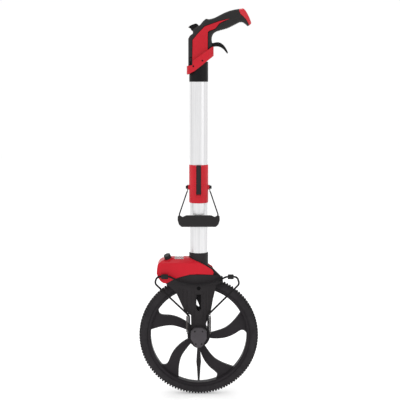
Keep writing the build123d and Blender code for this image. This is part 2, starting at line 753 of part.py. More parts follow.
with BuildPart() as bail_screws:
    for side in (1, -1):
        with BuildSketch(Plane((side * 14, 0, bail_z), x_dir=(0, side, 0), z_dir=(side, 0, 0))):
            Circle(2.6)
        extrude(amount=17)
        with BuildSketch(Plane((side * 31, 0, bail_z), x_dir=(0, side, 0), z_dir=(side, 0, 0))):
            Circle(4.4)
        extrude(amount=3.2)
    with BuildSketch(Plane.XY.offset(bail_z - 10)):
        Circle(tube_r - tube_wall)
    extrude(amount=30, mode=Mode.SUBTRACT)
save(bail_screws.part, "bail_screws")

# ---- pistol grip ----
# Whole side outline of the grip, spine and nose, without the two levers.
grip_outline = (
    (-27, 893.6), (-27, 944), (-22.6, 952), (-15, 957.5), (-15, 968), (-4, 976), (3, 979), (11, 989), (19, 996),
    (26, 994), (35, 995.8), (44.3, 999.2), (54.7, 1004.8), (67.7, 1011.2), (80.6, 1016), (93.6, 1019.1),
    (106.6, 1021), (115.7, 1022.4), (121, 1017.5), (126.5, 1009), (131.4, 999.1), (135, 990), (136.8, 983.7),
    (133, 979), (127.6, 976.7), (122.4, 981.4), (117, 985.5), (113, 987.3), (106.7, 986.6), (99, 982.6),
    (88.6, 977.2), (75.6, 971), (62.6, 967.2), (48.3, 963.8), (41.8, 960.5), (37.4, 956), (34.7, 949.6),
    (33.8, 942), (35, 934), (35, 899), (30, 893.6),
)
cap_outline = ((103, 1030), (104.7, 1014.7), (108.6, 1007), (116.4, 1000.6), (124.2, 991.7), (129.6, 981),
               (131, 970), (150, 970), (150, 1035), (103, 1035))
shell_outline = (
    (-16.6, 876), (-15.6, 940.5), (-1, 958), (15.6, 975.1), (28.6, 980), (40, 984), (54.4, 989.2),
    (81.5, 995.5), (70, 991), (59, 986.2), (53, 982.5), (47.9, 976), (44.1, 971), (37.6, 967.5), (28.6, 964.9),
    (24, 961), (23.4, 950), (23.4, 903), (-16.6, 867),
)
lever_x = 26.5
lever_z = 930.0
thumb_x = -3.0
thumb_z = 966.0
collar_half_t = 27.5
collar_bore_r = 24.75
handle_screw_points = ((9.7, 887.3), (-13.7, 872.9))
handle_screw_r = 2.3

# Both handle shells as one envelope: a thick slanting collar round the ferrule and the side panels.
with BuildPart() as shell_body:
    with BuildSketch(Plane.XY.offset(846)):
        with Locations((4, 0)):
            RectangleRounded(70, 2 * collar_half_t, 17)
    extrude(amount=90)
    # its foot and its top both rise towards the brake lever
    with BuildSketch(face_at(40)):
        Polygon((-60, 840), (-60, 852), (-27, 852), (-10, 861), (10, 876.5), (23.5, 887.8), (40, 901),
                (60, 918), (60, 840), align=None)
        Polygon((-60, 854), (36, 923.9), (60, 923.9), (60, 960), (-60, 960), align=None)
    extrude(amount=80, mode=Mode.SUBTRACT)
    chamfer(shell_body.faces().filter_by(lambda f: 0.3 < f.normal_at().Z < 0.95).edges(), 1.2)
    # step for the foot of the black spine
    with BuildSketch(face_at(40)):
        Polygon((-40, 872.2), (-16.2, 876), (-16.2, 920), (-40, 920), align=None)
    extrude(amount=80, mode=Mode.SUBTRACT)
    with BuildSketch(face_at(shell_half_t)):
        Polygon(*shell_outline, align=None)
    extrude(amount=2 * shell_half_t)

with BuildPart() as grip_body:
    with BuildSketch(face_at(grip_half_t)):
        Polygon(*grip_outline, align=None)
    extrude(amount=2 * grip_half_t)
    chamfer(grip_body.faces().filter_by(Axis.Y).edges(), 4)

# Side panels stand on a narrower black core.
core_half_t = 11.0
lever_slot_half_w = 5.6
with BuildPart() as panel_body:
    add(shell_body.part)
    with BuildSketch(face_at(core_half_t)):
        Polygon((-60, 893.5), (-60, 1040), (160, 1040), (160, 924), (35.1, 924), (35.1, 893.5), align=None)
    extrude(amount=2 * core_half_t, mode=Mode.SUBTRACT)
    with BuildSketch(Plane.XY.offset(800)):
        Circle(collar_bore_r)
    extrude(amount=upper_tube_top - 800, mode=Mode.SUBTRACT)
    # notch under the brake lever
    with BuildSketch(face_at(lever_slot_half_w)):
        Polygon((30, 919.5), (60, 919.5), (60, 940), (30, 940), align=None)
    extrude(amount=2 * lever_slot_half_w, mode=Mode.SUBTRACT)

for side, label in ((-1, "handle_shell_near"), (1, "handle_shell_far")):
    with BuildPart() as handle_half:
        add(panel_body.part)
        split(bisect_by=Plane.XZ, keep=Keep.TOP if side < 0 else Keep.BOTTOM)
        # screw holes
        with BuildSketch(face_at(0)):
            with Locations(*handle_screw_points):
                Circle(handle_screw_r)
        extrude(amount=side * -40, mode=Mode.SUBTRACT)
    save(handle_half.part, label)

with BuildPart() as ferrule:
    with BuildSketch(Plane.XY.offset(833)):
        Circle(collar_bore_r)
        Circle(tube_r, mode=Mode.SUBTRACT)
    extrude(amount=upper_tube_top - 833)
    chamfer(ferrule.edges().filter_by(GeomType.CIRCLE).group_by(Axis.Z)[0].sort_by(SortBy.RADIUS)[-1], 0.6)
save(ferrule.part, "ferrule")

# Black core, spine and rubber grip in one moulding.
with BuildPart() as grip:
    add(grip_body.part)
    # the spine's foot reaches down behind the collar
    with BuildSketch(face_at(12)):
        Polygon((-27, 871), (-16, 871), (-16, 897), (-27, 897), align=None)
    extrude(amount=24)
    add(panel_body.part, mode=Mode.SUBTRACT)
    with BuildSketch(Plane.XY.offset(800)):
        Circle(collar_bore_r)
    extrude(amount=upper_tube_top - 800, mode=Mode.SUBTRACT)
    with BuildSketch(face_at(60)):
        Polygon(*cap_outline, align=None)
    extrude(amount=120, mode=Mode.SUBTRACT)
    # lever slot
    with BuildSketch(face_at(lever_slot_half_w)):
        with Locations((lever_x, lever_z)):
            Circle(9)
        Polygon((lever_x, lever_z - 9), (60, lever_z - 9), (60, 960), (40, 956), (lever_x - 2, lever_z + 9),
                align=None)
    extrude(amount=2 * lever_slot_half_w, mode=Mode.SUBTRACT)
    # thumb lever slot
    with BuildSketch(face_at(lever_slot_half_w)):
        with Locations((thumb_x, thumb_z)):
            Circle(8.6)
        Polygon((thumb_x - 2, thumb_z - 8), (-40, 950), (-40, 1000), (8, 1000), (5.6, thumb_z), align=None)
    extrude(amount=2 * lever_slot_half_w, mode=Mode.SUBTRACT)
    for pin_x, pin_z in ((lever_x, lever_z), (thumb_x, thumb_z)):
        with BuildSketch(face_at(core_half_t)):
            with Locations((pin_x, pin_z)):
                Circle(1.5)
        extrude(amount=2 * core_half_t, mode=Mode.SUBTRACT)
save(grip.part, "grip")

with BuildPart() as grip_end_cap:
    add(grip_body.part)
    with BuildSketch(face_at(60)):
        Polygon(*cap_outline, align=None)
    extrude(amount=120, mode=Mode.INTERSECT)
save(grip_end_cap.part, "grip_end_cap")

for label, pin_x, pin_z in (("brake_lever_pin", lever_x, lever_z), ("thumb_lever_pin", thumb_x, thumb_z)):
    with BuildPart() as lever_pin:
        with BuildSketch(face_at(core_half_t)):
            with Locations((pin_x, pin_z)):
                Circle(1.5)
        extrude(amount=2 * core_half_t)
    save(lever_pin.part, label)

# Curved brake lever under the grip.
with BuildPart() as brake_lever:
    with BuildSketch(face_at(5.2)):
        with BuildLine():
            Spline((lever_x, lever_z + 6.5), (38, 933.6), (47, 935.2), (56.1, 933.9), (64, 928.6), (70.5, 920.5),
                   (75.9, 909.6))
            Polyline((75.9, 909.6), (76, 907), (74.6, 905.8))
            Spline((74.6, 905.8), (71, 910), (65.3, 916.6), (57.5, 922.1), (49.6, 924.4), (40.5, 924),
                   (lever_x, lever_z - 6.5))
            Line((lever_x, lever_z - 6.5), (lever_x, lever_z + 6.5))
        make_face()
        with Locations((lever_x, lever_z)):
            Circle(6.5)
        with Locations((lever_x, lever_z)):
            Circle(1.5 + running_gap, mode=Mode.SUBTRACT)
    extrude(amount=10.4)
save(brake_lever.part, "brake_lever")

with BuildPart() as thumb_lever:
    with BuildSketch(face_at(5)):
        with BuildLine():
            Polyline((thumb_x - 4, thumb_z - 4), (-15.5, 963.5), (-19.5, 967), (-21, 970.5), (-26.8, 973.6))
            Spline((-26.8, 973.6), (-23.3, 977.2), (-15.5, 981.1), (-5.1, 983), (0.6, 977), (thumb_x + 4, thumb_z + 3))
            Line((thumb_x + 4, thumb_z + 3), (thumb_x - 4, thumb_z - 4))
        make_face()
        with Locations((thumb_x, thumb_z)):
            Circle(6.5)
        with Locations((thumb_x, thumb_z)):
            Circle(1.5 + running_gap, mode=Mode.SUBTRACT)
    extrude(amount=10)
save(thumb_lever.part, "thumb_lever")

with BuildPart() as handle_screws:
    for side in (1, -1):
        with BuildSketch(Plane((0, side * (collar_bore_r + 0.1), 0), x_dir=(-side, 0, 0), z_dir=(0, side, 0))):
            with Locations(*[(-side * x, z) for x, z in handle_screw_points]):
                Circle(handle_screw_r)
        extrude(amount=1.9)
save(handle_screws.part, "handle_screws")
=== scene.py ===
import bpy
import bmesh
import math
from mathutils import Matrix, Vector


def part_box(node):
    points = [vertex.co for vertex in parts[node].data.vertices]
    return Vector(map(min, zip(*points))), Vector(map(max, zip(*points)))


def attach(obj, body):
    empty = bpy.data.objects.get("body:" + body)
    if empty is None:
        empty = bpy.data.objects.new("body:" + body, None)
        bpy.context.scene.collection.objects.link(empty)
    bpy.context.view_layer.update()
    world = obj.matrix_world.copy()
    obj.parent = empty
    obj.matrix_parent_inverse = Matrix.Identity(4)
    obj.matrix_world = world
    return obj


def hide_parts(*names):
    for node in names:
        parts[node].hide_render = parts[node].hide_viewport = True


# Measuring wheel: what each piece is made of, in the order that it is put together.

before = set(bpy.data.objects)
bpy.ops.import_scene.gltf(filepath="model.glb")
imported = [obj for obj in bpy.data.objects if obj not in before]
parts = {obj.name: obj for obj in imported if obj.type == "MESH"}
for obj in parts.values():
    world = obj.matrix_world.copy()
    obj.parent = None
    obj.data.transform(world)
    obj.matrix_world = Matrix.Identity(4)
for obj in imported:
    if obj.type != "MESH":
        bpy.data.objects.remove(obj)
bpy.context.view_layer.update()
scene = bpy.context.scene

# Studio: camera on a long lens in front of the near side, a plain pale floor, white surroundings
# that are brightest near the horizon, and large soft lamps. None of it belongs to the object.
view = bpy.data.objects.new("camera", bpy.data.cameras.new("camera"))
scene.collection.objects.link(view)
view.data.lens = 99.9
view.data.sensor_width = 36
view.location = (0.0035, -2.920, 0.835)
view.rotation_euler = (math.radians(90 - 6.12), 0, 0)
view.data.clip_end = 60
scene.camera = view
scene.view_settings.view_transform = "Standard"

floor_reach = 9
floor_z = -0.0006
floor_corners = [(x * floor_reach, y * floor_reach, floor_z) for x, y in ((-1, -1), (1, -1), (1, 1), (-1, 1))]
floor_mesh = bpy.data.meshes.new("floor")
floor_mesh.from_pydata(floor_corners, [], [(0, 1, 2, 3)])
floor = bpy.data.objects.new("floor", floor_mesh)
scene.collection.objects.link(floor)
floor_paint = bpy.data.materials.new("pale_floor")
floor_paint.use_nodes = True
for socket, value in (
    ("Base Color", (0.93, 0.93, 0.93, 1)),
    ("Roughness", 0.9),
    ("Emission Color", (1, 1, 1, 1)),
    ("Emission Strength", 0.30),
):
    floor_paint.node_tree.nodes["Principled BSDF"].inputs[socket].default_value = value
floor_mesh.materials.append(floor_paint)

for name, place, aim, size, power in (
    ("key", (-1.7, -1.9, 2.2), (0, 0, 0.55), 1.1, 13),
    ("fill", (2.3, -1.7, 1.2), (0, 0, 0.5), 1.3, 5),
    ("top", (0.1, 0.1, 2.9), (0, 0, 0.4), 1.2, 10),
    ("back", (-0.6, 2.2, 1.9), (0, 0, 0.6), 1.6, 6),
):
    lamp = bpy.data.objects.new(name, bpy.data.lights.new(name, "AREA"))
    lamp.data.size = size
    lamp.data.energy = power
    lamp.location = place
    lamp.rotation_euler = (Vector(aim) - Vector(place)).to_track_quat("-Z", "Y").to_euler()
    scene.collection.objects.link(lamp)
world = bpy.data.worlds.new("studio")
world.use_nodes = True
sky = world.node_tree
sky.nodes["Background"].inputs["Color"].default_value = (1, 1, 1, 1)
sky_place = sky.nodes.new("ShaderNodeTexCoord")
sky_axes = sky.nodes.new("ShaderNodeSeparateXYZ")
sky_fall = sky.nodes.new("ShaderNodeMapRange")
for socket, value in (("From Min", 0.16), ("From Max", 0.32), ("To Min", 1.01), ("To Max", 0.80)):
    sky_fall.inputs[socket].default_value = value
sky.links.new(sky_place.outputs["Object"], sky_axes.inputs[0])
sky.links.new(sky_axes.outputs["Z"], sky_fall.inputs["Value"])
sky.links.new(sky_fall.outputs[0], sky.nodes["Background"].inputs["Strength"])
scene.world = world


# Wheel. One moulding in dark glass-filled nylon: rim, five curved spokes and hub. It comes out
# of the tool with a fine spark-eroded grain, and its sharp corners catch the light.
class Value:
    """One value in a shader; arithmetic on it adds Math nodes."""

    def __init__(self, finish, socket):
        self.finish = finish
        self.socket = socket

    def math(self, operation, first, second):
        return self.finish.add("ShaderNodeMath", {"operation": operation}, first, second)

    def __add__(self, other):
        return self.math("ADD", self, other)

    def __sub__(self, other):
        return self.math("SUBTRACT", self, other)

    def __rsub__(self, other):
        return self.math("SUBTRACT", other, self)

    def __mul__(self, other):
        return self.math("MULTIPLY", self, other)

    __radd__ = __add__
    __rmul__ = __mul__


class Finish:
    """A procedural material in metres of object space, built round one Principled shader."""

    def __init__(self, name, **constants):
        self.material = bpy.data.materials.new(name)
        self.material.use_nodes = True
        self.tree = self.material.node_tree
        self.shader = self.tree.nodes["Principled BSDF"]
        for key, value in constants.items():
            self.shader.inputs[key.replace("_", " ")].default_value = value
        self.place = self.add("ShaderNodeTexCoord", {}, output="Object")

    def feed(self, socket, value):
        if isinstance(value, Value):
            self.tree.links.new(value.socket, socket)
        elif value is not None:
            socket.default_value = value

    def add(self, kind, settings, *values, output=0, **named):
        node = self.tree.nodes.new(kind)
        for key, value in settings.items():
            setattr(node, key, value)
        for index, value in enumerate(values):
            self.feed(node.inputs[index], value)
        for key, value in named.items():
            self.feed(node.inputs[key.replace("_", " ")], value)
        return Value(self, node.outputs[output])

    def noise(self, scale, detail=2.0, rough=0.5, at=None):
        where = at or self.place
        return self.add("ShaderNodeTexNoise", {}, where, Scale=scale, Detail=detail, Roughness=rough)

    def span(self, value, low, high, new_low, new_high):
        return self.add("ShaderNodeMapRange", {"clamp": True}, value, low, high, new_low, new_high)

    def blend(self, factor, first, second):
        node = self.tree.nodes.new("ShaderNodeMix")
        node.data_type = "RGBA"
        for index, value in ((0, factor), (6, first), (7, second)):
            opaque = (*value, 1) if isinstance(value, tuple) else value
            self.feed(node.inputs[index], opaque)
        return Value(self, node.outputs[2])

    def colour(self, value):
        self.feed(self.shader.inputs["Base Color"], value)

    def gloss(self, value):
        self.feed(self.shader.inputs["Roughness"], value)

    def relief(self, height, depth, strength=1.0, edge=0.0):
        """Surface relief; edge is the radius that sharp corners catch the light with."""
        under = self.add("ShaderNodeBevel", {"samples": 6}, Radius=edge) if edge else None
        bump = self.add("ShaderNodeBump", {}, Strength=strength, Distance=depth, Height=height, Normal=under)
        self.feed(self.shader.inputs["Normal"], bump)

    def wear(self, *names):
        """Puts this finish on CAD pieces."""
        for name in names:
            slots = parts[name].data.materials
            slots.clear()
            slots.append(self.material)


def moulded(name, colour, dark, rough, grain=2600, depth=0.00006, sheen=0.0, edge=0.0008, specular=0.3):
    """Moulded plastic: fine tool grain, faint flow mottling and a roughness that wanders a little."""
    finish = Finish(name, IOR=1.49, Specular_IOR_Level=specular, Coat_Weight=sheen, Coat_Roughness=0.2)
    mottle = finish.noise(14, 4, 0.6)
    finish.colour(finish.blend(finish.span(mottle, 0.3, 0.7, 0, 1), dark, colour))
    speck = finish.noise(grain, 1.5, 0.6)
    finish.gloss(finish.span(finish.noise(60, 5, 0.65), 0.25, 0.75, rough - 0.06, rough + 0.08))
    finish.relief(speck, depth, 0.6, edge)
    return finish


wheel_plastic = moulded("wheel_plastic", (0.023, 0.020, 0.023), (0.016, 0.014, 0.016), 0.5, specular=0.12)
wheel_plastic.wear("wheel_rim")

# Tyre. A rubber ring stretched over the rim, with a band of small cross lugs that are moulded
# on the tread and a plain sidewall with one raised bead line.
axle_at = Vector((0, 0, 0.15915))
tread_r, tyre_half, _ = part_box("tyre")[1]
seat_r = 0.1370
rubber = Finish("tyre_rubber", IOR=1.5, Specular_IOR_Level=0.18)
dust = rubber.span(rubber.noise(38, 6, 0.7), 0.42, 0.72, 0, 0.55)
rubber.colour(rubber.blend(dust, (0.017, 0.015, 0.017), (0.034, 0.031, 0.034)))
rubber.gloss(rubber.span(rubber.noise(90, 4, 0.6), 0.3, 0.7, 0.62, 0.8))
rubber.relief(rubber.noise(1900, 2, 0.6), 0.00008, 0.7)


def lathe(name, profile, steps, centre, material):
    """A closed ring turned about a Y axis through centre, from a closed profile of (y, radius)."""
    mesh = bpy.data.meshes.new(name)
    bm = bmesh.new()
    rings = []
    for i in range(steps):
        a = 2 * math.pi * i / steps
        rings.append([bm.verts.new((centre.x + r * math.cos(a), centre.y + y, centre.z + r * math.sin(a)))
                      for y, r in profile])
    count = len(profile)
    for i in range(steps):
        here, there = rings[i], rings[(i + 1) % steps]
        for k in range(count):
            bm.faces.new((here[k], here[(k + 1) % count], there[(k + 1) % count], there[k]))
    bmesh.ops.recalc_face_normals(bm, faces=bm.faces)
    bm.to_mesh(mesh)
    bm.free()
    mesh.materials.append(material)
    piece = bpy.data.objects.new(name, mesh)
    scene.collection.objects.link(piece)
    return piece


def group(name, **sizes):
    """A Geometry Nodes group with one geometry in and out and a named input for each size."""
    tree = bpy.data.node_groups.new(name, "GeometryNodeTree")
    tree.interface.new_socket("Geometry", in_out="INPUT", socket_type="NodeSocketGeometry")
    tree.interface.new_socket("Geometry", in_out="OUTPUT", socket_type="NodeSocketGeometry")
    for label, value in sizes.items():
        kind = {int: "NodeSocketInt", float: "NodeSocketFloat"}.get(type(value), "NodeSocketMaterial")
        socket = tree.interface.new_socket(label, in_out="INPUT", socket_type=kind)
        if kind != "NodeSocketMaterial":
            socket.default_value = value
    start = tree.nodes.new("NodeGroupInput")
    end = tree.nodes.new("NodeGroupOutput")

    def add(kind, settings=None, **links):
        node = tree.nodes.new(kind)
        for key, value in (settings or {}).items():
            setattr(node, key, value)
        for key, value in links.items():
            socket = node.inputs[int(key[1:])] if key[1:].isdigit() else node.inputs[key.replace("_", " ")]
            if isinstance(value, bpy.types.NodeSocket):
                tree.links.new(value, socket)
            else:
                socket.default_value = value
        return node

    def close(geometry, material):
        real = add("GeometryNodeRealizeInstances", Geometry=geometry)
        paint = add("GeometryNodeSetMaterial", Geometry=real.outputs[0], Material=material)
        tree.links.new(paint.outputs[0], end.inputs[0])

    return tree, start, add, close


def grow(name, tree, base, **sizes):
    """Runs a group over a base mesh with these sizes and keeps the result as a plain mesh."""
    seed = bpy.data.objects.new(name + "_seed", base)
    scene.collection.objects.link(seed)
    modifier = seed.modifiers.new("grow", "NODES")
    modifier.node_group = tree
    for item in tree.interface.items_tree:
        if item.item_type == "SOCKET" and item.in_out == "INPUT" and item.name in sizes:
            modifier[item.identifier] = sizes[item.name]
    bpy.context.view_layer.update()
    depsgraph = bpy.context.evaluated_depsgraph_get()
    mesh = bpy.data.meshes.new_from_object(seed.evaluated_get(depsgraph))
    mesh.name = name
    bpy.data.objects.remove(seed)
    piece = bpy.data.objects.new(name, mesh)
    scene.collection.objects.link(piece)
    return piece


# half section of the sidewall: how far in from the tyre's side, and how far out from its seat
sidewall = (
    (0.0012, 0.0), (0.0004, 0.003), (0.0, 0.0065), (0.0007, 0.0085), (0.0009, 0.0125), (0.0028, 0.0150),
    (0.0058, 0.0172),
)
carcass_profile = [(-tyre_half + inward, seat_r + rise) for inward, rise in sidewall]
carcass_profile += [(-0.0080, tread_r - 0.0040), (0, tread_r - 0.0036), (0.0080, tread_r - 0.0040)]
carcass_profile += [(tyre_half - inward, seat_r + rise) for inward, rise in reversed(sidewall)]
carcass = lathe("tyre_carcass", carcass_profile, 240, axle_at, rubber.material)
carcass.data.shade_smooth()
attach(carcass, "wheel")

# one lug: a bar across half the tread that turns down over the shoulder
lug_mesh = bpy.data.meshes.new("lug")
lug_bm = bmesh.new()
lug_reach = 0.0166
lug_skew = 0.0012
lug_depth = 0.0058
lug_bevel = 0.0005
stations = ((0.0006, 0.0), (0.0075, -0.0004), (0.0122, -0.0013), (0.0154, -0.0052), (lug_reach, -0.0086))
loops = []
for y, drop in stations:
    half = 0.0021 if y < 0.012 else 0.0018
    skew = lug_skew * y / lug_reach
    edge = drop - 0.0004
    foot = drop - lug_depth
    outline = (
        (-half, foot), (-half, edge), (-half + lug_bevel, drop),
        (half - lug_bevel, drop), (half, edge), (half, foot),
    )
    loops.append([lug_bm.verts.new((x + skew, y, z)) for x, z in outline])
for here, there in zip(loops, loops[1:]):
    for k in range(6):
        lug_bm.faces.new((here[k], here[(k + 1) % 6], there[(k + 1) % 6], there[k]))
lug_bm.faces.new(loops[0])
lug_bm.faces.new(loops[-1])
bmesh.ops.recalc_face_normals(lug_bm, faces=lug_bm.faces)
lug_bm.to_mesh(lug_mesh)
lug_bm.free()

lug_count = 124
tread, start, add, close = group("tread_ring", Lugs=lug_count, Radius=tread_r, Rubber=None)
count = start.outputs["Lugs"]
marks = add("GeometryNodeMeshLine", {"mode": "OFFSET"}, Count=count)
index = add("GeometryNodeInputIndex")
step = add("ShaderNodeMath", {"operation": "DIVIDE"}, _0=index.outputs[0], _1=count)
angle = add("ShaderNodeMath", {"operation": "MULTIPLY"}, _0=step.outputs[0], _1=2 * math.pi)
spin = add("ShaderNodeCombineXYZ", Y=angle.outputs[0])
turn = add("FunctionNodeEulerToRotation", Euler=spin.outputs[0])
out = add("ShaderNodeCombineXYZ", Z=start.outputs["Radius"])
reach = add("FunctionNodeRotateVector", Vector=out.outputs[0], Rotation=turn.outputs[0])
marks_at = add("GeometryNodeSetPosition", Geometry=marks.outputs[0], Position=reach.outputs[0])
lugs = add("GeometryNodeInstanceOnPoints", Points=marks_at.outputs[0], Instance=start.outputs["Geometry"],
           Rotation=turn.outputs[0])
shift = add("GeometryNodeTransform", Geometry=lugs.outputs[0], Translation=tuple(axle_at))
close(shift.outputs[0], start.outputs["Rubber"])
other_side = lug_mesh.copy()
other_side.transform(Matrix.Scale(-1, 4, (0, 1, 0)))
other_side.flip_normals()
for label, half_lug in (("tread_near", other_side), ("tread_far", lug_mesh)):
    band = grow(label, tread, half_lug, Lugs=lug_count, Radius=tread_r, Rubber=rubber.material)
    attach(band, "wheel")
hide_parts("tyre")

# Hub: two shielded ball bearings pressed in its ends, a toothed drive pulley of acetal on the
# near end, and a plated hexagon bolt through all of it with a washer and a domed nut.
steel = Finish("plated_steel", Metallic=1.0)
steel.colour(steel.blend(steel.noise(120, 3), (0.42, 0.42, 0.43), (0.60, 0.60, 0.61)))
steel.gloss(steel.span(steel.noise(420, 4, 0.7), 0.3, 0.7, 0.24, 0.42))
steel.relief(steel.noise(2200, 2), 0.00003, 0.4)
steel.wear("hub_bearings", "axle", "axle_nut", "hinge_pin", "latch_pin", "drum_shaft", "spring_anchors",
           "brake_lever_pin", "thumb_lever_pin")
# the acetal parts are coloured much darker than the fork's black. This is partly their own colour and partly
# painted shade, so the counter's input shaft end shows as a dark dot, like the shaded hole it sits in
acetal_painted_shade = moulded("black_acetal_painted_shade", (0.006, 0.006, 0.006), (0.004, 0.004, 0.004), 0.5, 3200, 0.00003,
                 specular=0.06)
acetal_painted_shade.wear("hub_pulley", "input_pulley", "brake_arm", "counter_frame")

# Fork and crown. Two legs and the bridge over the wheel, moulded in black glass-filled nylon with
# a coarse matt grain and screwed together. The belt cover, the pointer and the stand's clip are
# the same plastic, and a toothed rubber belt runs behind the cover.
fork_plastic = moulded("fork_plastic", (0.024, 0.021, 0.023), (0.016, 0.014, 0.015), 0.5, 1700, 0.00012,
                       specular=0.15)
fork_plastic.wear("near_fork_leg", "far_fork_leg", "crown", "belt_cover", "pointer", "stand_clip")
belt_rubber = Finish("belt_rubber", Specular_IOR_Level=0.3)
belt_rubber.colour(belt_rubber.blend(belt_rubber.noise(200, 3), (0.018, 0.018, 0.019), (0.03, 0.03, 0.031)))
belt_rubber.gloss(belt_rubber.span(belt_rubber.noise(300), 0.3, 0.7, 0.7, 0.85))
teeth = belt_rubber.add("ShaderNodeTexWave", {"bands_direction": "Z"}, belt_rubber.place, Scale=110.0)
belt_rubber.relief(teeth, 0.0004, 0.8)
belt_rubber.wear("drive_belt")

# Hub cover. A small cap over the axle head, moulded in lighter grey nylon with a coarser grain
# than the fork's. Four screws hold it.
cover_plastic = moulded("cover_plastic", (0.066, 0.058, 0.066), (0.042, 0.037, 0.042), 0.46, 900, 0.00018)
cover_plastic.wear("hub_cover")

# Screws: black steel pan heads with a six-lobe recess. They hold the hub cover, the crown, the
# counter housing and, further down, the handle; one node group sets every row of them.
screw_black = Finish("black_oxide", Specular_IOR_Level=0.2)
screw_black.colour(screw_black.blend(screw_black.noise(300, 3), (0.006, 0.006, 0.006), (0.012, 0.012, 0.012)))
screw_black.gloss(screw_black.span(screw_black.noise(500, 3), 0.3, 0.7, 0.35, 0.5))
screw_black.relief(screw_black.noise(2600, 2), 0.00003, 0.4)


def screw_head(radius, height, lobes=6):
    """A domed head whose top holds a six-lobe recess; its seat is at the origin, facing +Z."""
    mesh = bpy.data.meshes.new("screw_head")
    bm = bmesh.new()
    steps = 48
    rings = []
    profile = ((1.0, 0.0), (1.0, 0.35), (0.93, 0.68), (0.78, 0.88), (0.58, 1.0))
    for r, z in profile:
        rings.append([bm.verts.new((radius * r * math.cos(2 * math.pi * i / steps),
                                    radius * r * math.sin(2 * math.pi * i / steps), height * z))
                      for i in range(steps)])
    for z in (1.0, 0.25):
        ring = []
        for i in range(steps):
            a = 2 * math.pi * i / steps
            r = radius * (0.40 + 0.075 * math.cos(lobes * a))
            ring.append(bm.verts.new((r * math.cos(a), r * math.sin(a), height * z)))
        rings.append(ring)
    for here, there in zip(rings, rings[1:]):
        for i in range(steps):
            bm.faces.new((here[i], here[(i + 1) % steps], there[(i + 1) % steps], there[i]))
    bm.faces.new(list(reversed(rings[0])))
    bm.faces.new(rings[-1])
    bmesh.ops.recalc_face_normals(bm, faces=bm.faces)
    bm.to_mesh(mesh)
    bm.free()
    return mesh


screw_group, start, add, close = group("screw_row", Steel=None)
where = add("GeometryNodeInputNamedAttribute", {"data_type": "FLOAT_VECTOR"}, Name="facing")
lean = add("FunctionNodeAlignRotationToVector", {"axis": "Z"}, Vector=where.outputs[0])
head_in = add("GeometryNodeObjectInfo")
heads = add("GeometryNodeInstanceOnPoints", Points=start.outputs["Geometry"],
            Instance=head_in.outputs["Geometry"], Rotation=lean.outputs[0])
close(heads.outputs[0], start.outputs["Steel"])


def screws(name, head, places, body, material, nodes):
    """One mesh of like screws: places are (point, direction) pairs."""
    holder = bpy.data.objects.new(name + "_head", head)
    scene.collection.objects.link(holder)
    head_in.inputs["Object"].default_value = holder
    seats = bpy.data.meshes.new(name + "_seats")
    seats.from_pydata([p for p, _ in places], [], [])
    facing = seats.attributes.new("facing", "FLOAT_VECTOR", "POINT")
    for i, (_, d) in enumerate(places):
        facing.data[i].vector = d
    piece = grow(name, screw_group, seats, Steel=material)
    bpy.data.objects.remove(holder)
    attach(piece, body)
    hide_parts(*nodes)


near, far = (0, -1, 0), (0, 1, 0)
cover_spots = ((-0.0103, 0.178), (0.0103, 0.178), (-0.0077, 0.144), (0.0077, 0.144))
for label, node, radius, height, y, way, spots in (
    ("cover", "hub_cover_screws", 0.0022, 0.0008, -0.0465, near, cover_spots),
    ("crown", "crown_screws", 0.0034, 0.0015, 0.033, far, ((0.050, 0.311), (-0.070, 0.305))),
    ("housing", "housing_screws", 0.0026, 0.0011, 0.035, far,
     ((-0.092, 0.322), (0.022, 0.338), (-0.040, 0.338))),
):
    screws(label + "_screw_heads", screw_head(radius, height), [((x, y, z), way) for x, z in spots], "frame",
           screw_black.material, [node])

# Kickstand: one length of powder-coated wire with two rubber barrels, and two steel springs
# that pull it home past its dead centre.
coat_black = Finish("powder_coat", IOR=1.5, Specular_IOR_Level=0.1)
coat_black.colour(coat_black.blend(coat_black.noise(80, 3), (0.009, 0.008, 0.009), (0.015, 0.014, 0.015)))
coat_black.gloss(coat_black.span(coat_black.noise(250, 3), 0.3, 0.7, 0.55, 0.7))
coat_black.relief(coat_black.noise(1400, 3, 0.6), 0.00008, 0.6)
coat_black.wear("kickstand_frame", "bail_wire")
foot_rubber = moulded("foot_rubber", (0.012, 0.011, 0.012), (0.008, 0.008, 0.008), 0.7, 1500, 0.00012)
foot_rubber.wear("kickstand_feet", "brake_pad")

spring_steel = Finish("spring_steel", Metallic=1.0)
spring_steel.colour(spring_steel.blend(spring_steel.noise(160, 3), (0.10, 0.085, 0.08), (0.20, 0.185, 0.18)))
spring_steel.gloss(spring_steel.span(spring_steel.noise(420, 4, 0.7), 0.3, 0.7, 0.3, 0.45))
spring_steel.relief(spring_steel.noise(2200, 2), 0.00003, 0.4)

coil_turns = 27
coil_r = 0.0023
coil_wire_r = 0.0006
coil_length = 0.042
hook_room = 0.007
coil, start, add, close = group("coil_spring", Turns=coil_turns, Radius=coil_r, Wire=coil_wire_r,
                                Length=coil_length, Steel=None)
helix = add("GeometryNodeCurveSpiral", Resolution=18, Rotations=start.outputs["Turns"],
            Start_Radius=start.outputs["Radius"], End_Radius=start.outputs["Radius"],
            Height=start.outputs["Length"])
section = add("GeometryNodeCurvePrimitiveCircle", {"mode": "RADIUS"}, Resolution=8)
section_radius = [socket for socket in section.inputs if socket.name == "Radius" and socket.enabled][0]
coil.links.new(start.outputs["Wire"], section_radius)
wire = add("GeometryNodeCurveToMesh", Curve=helix.outputs[0], Profile_Curve=section.outputs[0],
           Fill_Caps=True)
smooth = add("GeometryNodeSetShadeSmooth", Geometry=wire.outputs[0])
close(smooth.outputs[0], start.outputs["Steel"])
